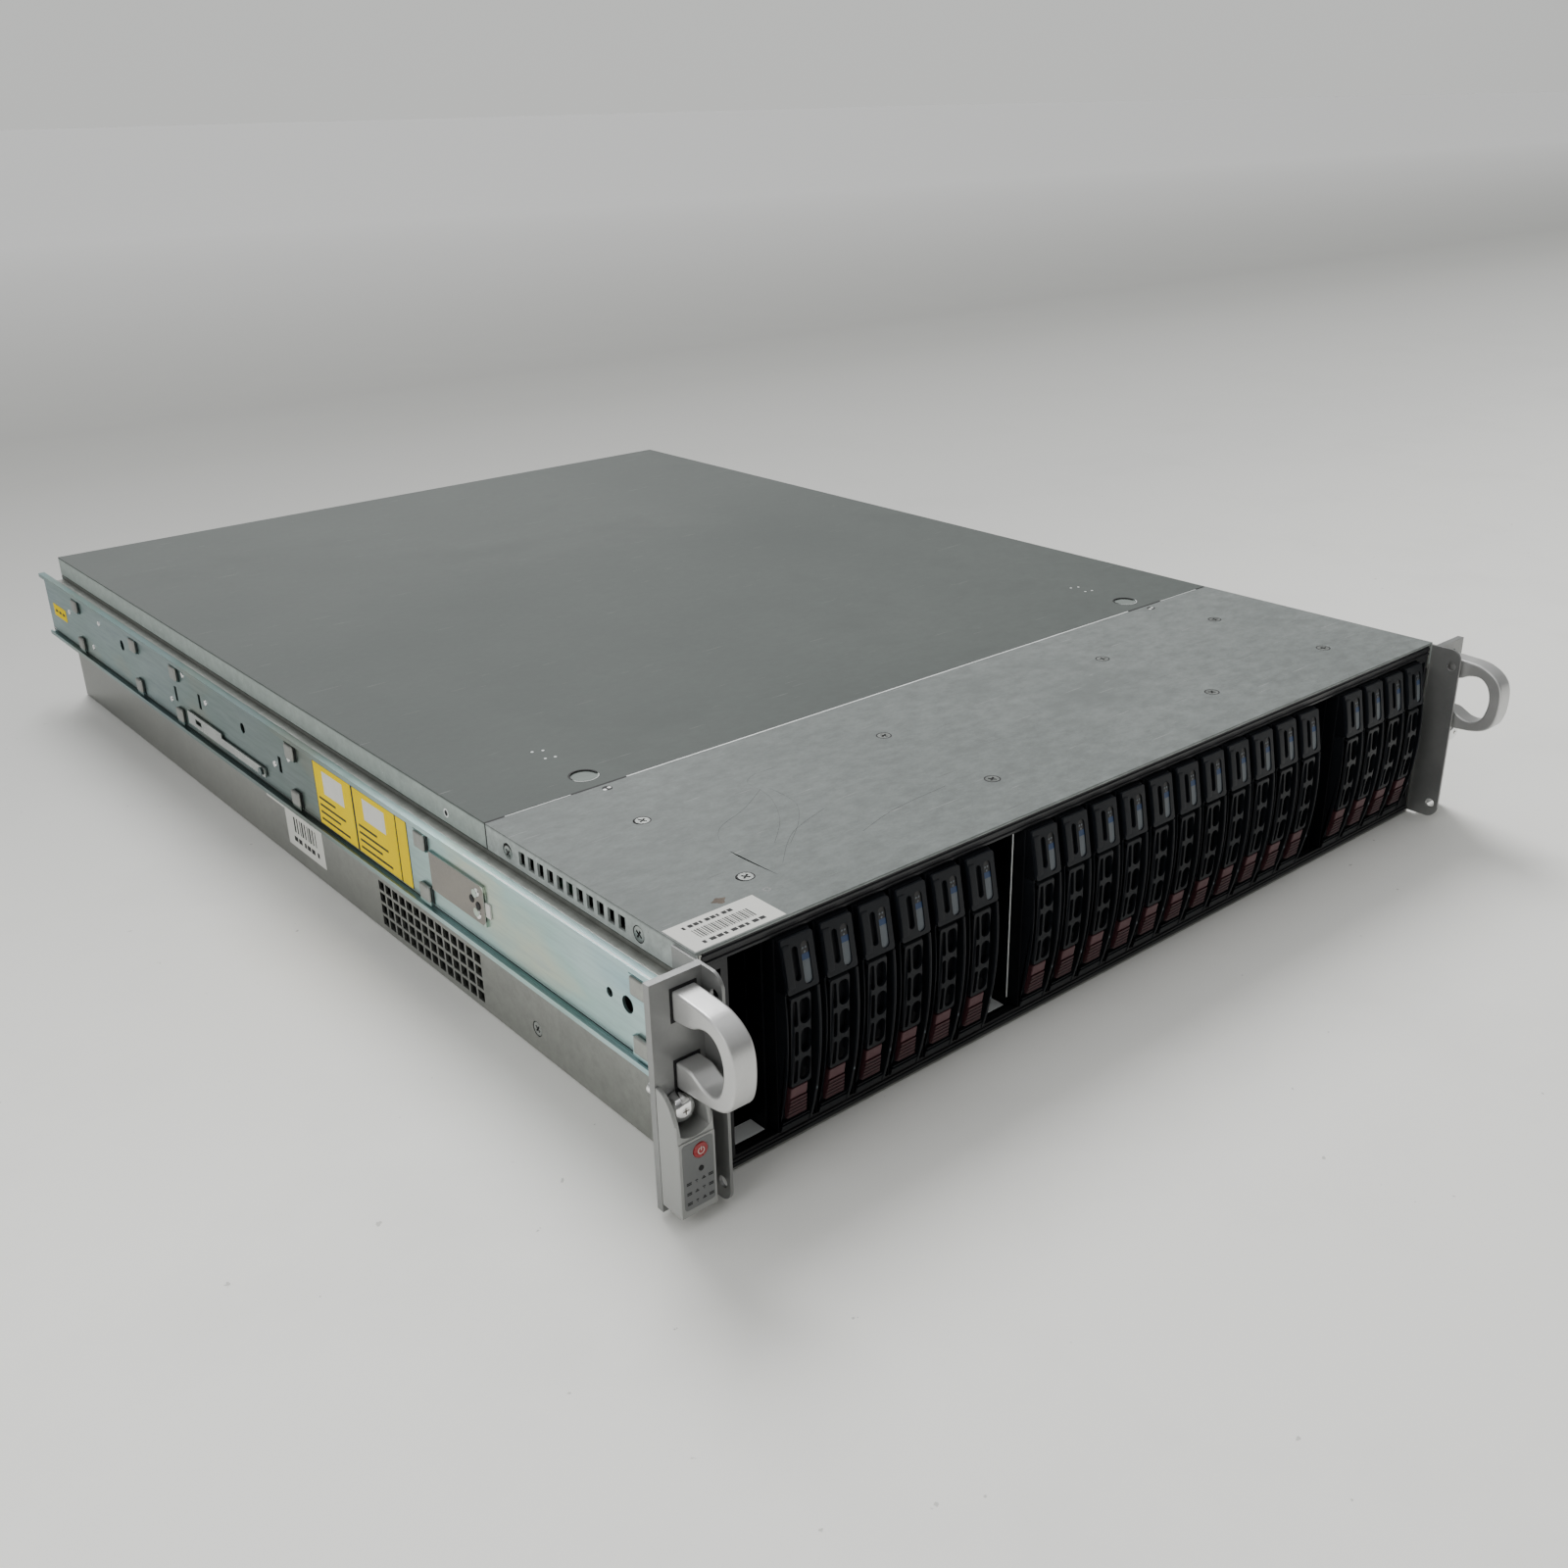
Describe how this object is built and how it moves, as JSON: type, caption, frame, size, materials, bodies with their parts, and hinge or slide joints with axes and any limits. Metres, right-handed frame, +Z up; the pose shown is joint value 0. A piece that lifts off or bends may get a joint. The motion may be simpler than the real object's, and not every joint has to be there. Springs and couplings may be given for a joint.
{
  "type": "rack server",
  "caption": "Rack-mount server two units high: steel chassis with hot-swap drive carriers, silver handles, sliding rails, fans, board and twin power supplies.",
  "frame": {"origin": "centre of the chassis base, on the surface it rests on", "axes": "+X to the right of someone facing the front, +Y from front to rear, +Z up"},
  "size_m": [0.479, 0.6967, 0.088],
  "materials": {
    "galvanised_steel": "galvanised sheet, satin",
    "zinc_rail": "bright zinc plate, satin",
    "silver_casting": "satin silver, bevelled",
    "black_steel": "black powder coat",
    "charcoal_plastic": "moulded, fine grain",
    "maroon_plastic": "ribbed, moulded",
    "red_plastic": "moulded",
    "grey_plastic": "moulded",
    "bright_steel": "polished",
    "drive_metal": "drive housing",
    "board_green": "coated circuit board",
    "fin_aluminium": "extruded fins",
    "black_plastic": "moulded"
  },
  "bodies": {
    "chassis": {"chassis_tray": "galvanised_steel", "rear_panel": "galvanised_steel", "front_top_cover": "galvanised_steel", "cover_screws": "bright_steel", "front_frame": "black_steel", "drive_cage": "black_steel", "backplane": "board_green", "fan_wall": "black_plastic", "motherboard": "board_green", "cpu_heatsinks": "fin_aluminium", "memory_modules": "board_green", "air_shroud": "black_plastic", "slot_covers": "galvanised_steel", "io_connectors": "bright_steel", "left_ear": "silver_casting", "right_ear": "silver_casting", "left_handle": "silver_casting", "right_handle": "silver_casting", "control_housing": "grey_plastic", "inner_rails": "zinc_rail"},
    "rear_cover": {"rear_top_cover": "galvanised_steel"},
    "carrier_02": {"carrier_tray_02": "charcoal_plastic", "hard_drive_02": "drive_metal"},
    "carrier_02_lever": {"carrier_lever_02": "charcoal_plastic"},
    "carrier_02_button": {"carrier_button_02": "maroon_plastic"},
    "carrier_03": {"drive_carrier_03": "charcoal_plastic"},
    "carrier_04": {"drive_carrier_04": "charcoal_plastic"},
    "carrier_05": {"drive_carrier_05": "charcoal_plastic"},
    "carrier_06": {"drive_carrier_06": "charcoal_plastic"},
    "carrier_07": {"drive_carrier_07": "charcoal_plastic"},
    "carrier_09": {"drive_carrier_09": "charcoal_plastic"},
    "carrier_10": {"drive_carrier_10": "charcoal_plastic"},
    "carrier_11": {"drive_carrier_11": "charcoal_plastic"},
    "carrier_12": {"drive_carrier_12": "charcoal_plastic"},
    "carrier_13": {"drive_carrier_13": "charcoal_plastic"},
    "carrier_14": {"drive_carrier_14": "charcoal_plastic"},
    "carrier_15": {"drive_carrier_15": "charcoal_plastic"},
    "carrier_16": {"drive_carrier_16": "charcoal_plastic"},
    "carrier_17": {"drive_carrier_17": "charcoal_plastic"},
    "carrier_18": {"drive_carrier_18": "charcoal_plastic"},
    "carrier_19": {"drive_carrier_19": "charcoal_plastic"},
    "carrier_21": {"drive_carrier_21": "charcoal_plastic"},
    "carrier_22": {"drive_carrier_22": "charcoal_plastic"},
    "carrier_23": {"drive_carrier_23": "charcoal_plastic"},
    "carrier_24": {"drive_carrier_24": "charcoal_plastic"},
    "fan_rotor_1": {"fan_rotor_1": "black_plastic"},
    "fan_rotor_2": {"fan_rotor_2": "black_plastic"},
    "fan_rotor_3": {"fan_rotor_3": "black_plastic"},
    "lower_supply": {"lower_power_supply": "galvanised_steel"},
    "lower_latch": {"lower_power_latch": "red_plastic"},
    "upper_supply": {"upper_power_supply": "galvanised_steel"},
    "upper_latch": {"upper_power_latch": "red_plastic"},
    "power_button": {"power_button": "red_plastic"},
    "reset_button": {"reset_button": "black_plastic"},
    "left_thumbscrew": {"left_thumbscrew": "bright_steel"},
    "left_slide_rail": {"left_slide_rail": "zinc_rail"},
    "left_rail_lever": {"left_rail_lever": "zinc_rail"},
    "right_thumbscrew": {"right_thumbscrew": "bright_steel"},
    "right_slide_rail": {"right_slide_rail": "zinc_rail"},
    "right_rail_lever": {"right_rail_lever": "zinc_rail"}
  },
  "joints": [
    {"name": "rear_cover_lift", "type": "slide", "parent": "chassis", "child": "rear_cover", "axis": [0, 0, 1], "range_m": [0, 0.12]},
    {"name": "carrier_02_slide", "type": "slide", "parent": "chassis", "child": "carrier_02", "axis": [0, -1, 0], "range_m": [0, 0.11]},
    {"name": "carrier_02_lever_hinge", "type": "hinge", "parent": "carrier_02", "child": "carrier_02_lever", "pos_m": [-0.1806, -0.3258, 0.0604], "axis": [-1, 0, 0], "range_deg": [0, 50]},
    {"name": "carrier_02_button_press", "type": "slide", "parent": "carrier_02", "child": "carrier_02_button", "axis": [0, 1, 0], "range_m": [0, 0.0015], "stiffness_N_per_m": 300},
    {"name": "carrier_03_slide", "type": "slide", "parent": "chassis", "child": "carrier_03", "axis": [0, -1, 0], "range_m": [0, 0.11]},
    {"name": "carrier_04_slide", "type": "slide", "parent": "chassis", "child": "carrier_04", "axis": [0, -1, 0], "range_m": [0, 0.11]},
    {"name": "carrier_05_slide", "type": "slide", "parent": "chassis", "child": "carrier_05", "axis": [0, -1, 0], "range_m": [0, 0.11]},
    {"name": "carrier_06_slide", "type": "slide", "parent": "chassis", "child": "carrier_06", "axis": [0, -1, 0], "range_m": [0, 0.11]},
    {"name": "carrier_07_slide", "type": "slide", "parent": "chassis", "child": "carrier_07", "axis": [0, -1, 0], "range_m": [0, 0.11]},
    {"name": "carrier_09_slide", "type": "slide", "parent": "chassis", "child": "carrier_09", "axis": [0, -1, 0], "range_m": [0, 0.11]},
    {"name": "carrier_10_slide", "type": "slide", "parent": "chassis", "child": "carrier_10", "axis": [0, -1, 0], "range_m": [0, 0.11]},
    {"name": "carrier_11_slide", "type": "slide", "parent": "chassis", "child": "carrier_11", "axis": [0, -1, 0], "range_m": [0, 0.11]},
    {"name": "carrier_12_slide", "type": "slide", "parent": "chassis", "child": "carrier_12", "axis": [0, -1, 0], "range_m": [0, 0.11]},
    {"name": "carrier_13_slide", "type": "slide", "parent": "chassis", "child": "carrier_13", "axis": [0, -1, 0], "range_m": [0, 0.11]},
    {"name": "carrier_14_slide", "type": "slide", "parent": "chassis", "child": "carrier_14", "axis": [0, -1, 0], "range_m": [0, 0.11]},
    {"name": "carrier_15_slide", "type": "slide", "parent": "chassis", "child": "carrier_15", "axis": [0, -1, 0], "range_m": [0, 0.11]},
    {"name": "carrier_16_slide", "type": "slide", "parent": "chassis", "child": "carrier_16", "axis": [0, -1, 0], "range_m": [0, 0.11]},
    {"name": "carrier_17_slide", "type": "slide", "parent": "chassis", "child": "carrier_17", "axis": [0, -1, 0], "range_m": [0, 0.11]},
    {"name": "carrier_18_slide", "type": "slide", "parent": "chassis", "child": "carrier_18", "axis": [0, -1, 0], "range_m": [0, 0.11]},
    {"name": "carrier_19_slide", "type": "slide", "parent": "chassis", "child": "carrier_19", "axis": [0, -1, 0], "range_m": [0, 0.11]},
    {"name": "carrier_21_slide", "type": "slide", "parent": "chassis", "child": "carrier_21", "axis": [0, -1, 0], "range_m": [0, 0.11]},
    {"name": "carrier_22_slide", "type": "slide", "parent": "chassis", "child": "carrier_22", "axis": [0, -1, 0], "range_m": [0, 0.11]},
    {"name": "carrier_23_slide", "type": "slide", "parent": "chassis", "child": "carrier_23", "axis": [0, -1, 0], "range_m": [0, 0.11]},
    {"name": "carrier_24_slide", "type": "slide", "parent": "chassis", "child": "carrier_24", "axis": [0, -1, 0], "range_m": [0, 0.11]},
    {"name": "fan_rotor_1_spin", "type": "hinge", "parent": "chassis", "child": "fan_rotor_1", "pos_m": [-0.1625, -0.066, 0.043], "axis": [0, 1, 0], "continuous": true},
    {"name": "fan_rotor_2_spin", "type": "hinge", "parent": "chassis", "child": "fan_rotor_2", "pos_m": [-0.0705, -0.066, 0.043], "axis": [0, 1, 0], "continuous": true},
    {"name": "fan_rotor_3_spin", "type": "hinge", "parent": "chassis", "child": "fan_rotor_3", "pos_m": [0.0215, -0.066, 0.043], "axis": [0, 1, 0], "continuous": true},
    {"name": "lower_supply_slide", "type": "slide", "parent": "chassis", "child": "lower_supply", "axis": [0, 1, 0], "range_m": [0, 0.28]},
    {"name": "lower_latch_press", "type": "slide", "parent": "lower_supply", "child": "lower_latch", "axis": [-1, 0, 0], "range_m": [0, 0.003], "stiffness_N_per_m": 300},
    {"name": "upper_supply_slide", "type": "slide", "parent": "chassis", "child": "upper_supply", "axis": [0, 1, 0], "range_m": [0, 0.28]},
    {"name": "upper_latch_press", "type": "slide", "parent": "upper_supply", "child": "upper_latch", "axis": [-1, 0, 0], "range_m": [0, 0.003], "stiffness_N_per_m": 300},
    {"name": "power_button_press", "type": "slide", "parent": "chassis", "child": "power_button", "axis": [0, 1, 0], "range_m": [0, 0.0008], "stiffness_N_per_m": 300},
    {"name": "reset_button_press", "type": "slide", "parent": "chassis", "child": "reset_button", "axis": [0, 1, 0], "range_m": [0, 0.0008], "stiffness_N_per_m": 300},
    {"name": "left_thumbscrew_turn", "type": "hinge", "parent": "chassis", "child": "left_thumbscrew", "pos_m": [-0.23255, -0.3265, 0.0416], "axis": [0, 1, 0], "continuous": true},
    {"name": "left_slide_rail_slide", "type": "slide", "parent": "chassis", "child": "left_slide_rail", "axis": [0, 1, 0], "range_m": [0, 0.4]},
    {"name": "left_rail_lever_hinge", "type": "hinge", "parent": "left_slide_rail", "child": "left_rail_lever", "pos_m": [-0.225, 0.014, 0.0463], "axis": [1, 0, 0], "range_deg": [0, 4], "stiffness_Nm_per_rad": 0.2},
    {"name": "right_thumbscrew_turn", "type": "hinge", "parent": "chassis", "child": "right_thumbscrew", "pos_m": [0.23255, -0.3265, 0.0416], "axis": [0, 1, 0], "continuous": true},
    {"name": "right_slide_rail_slide", "type": "slide", "parent": "chassis", "child": "right_slide_rail", "axis": [0, 1, 0], "range_m": [0, 0.4]},
    {"name": "right_rail_lever_hinge", "type": "hinge", "parent": "right_slide_rail", "child": "right_rail_lever", "pos_m": [0.225, 0.014, 0.0463], "axis": [1, 0, 0], "range_deg": [0, 4], "stiffness_Nm_per_rad": 0.2}
  ]
}
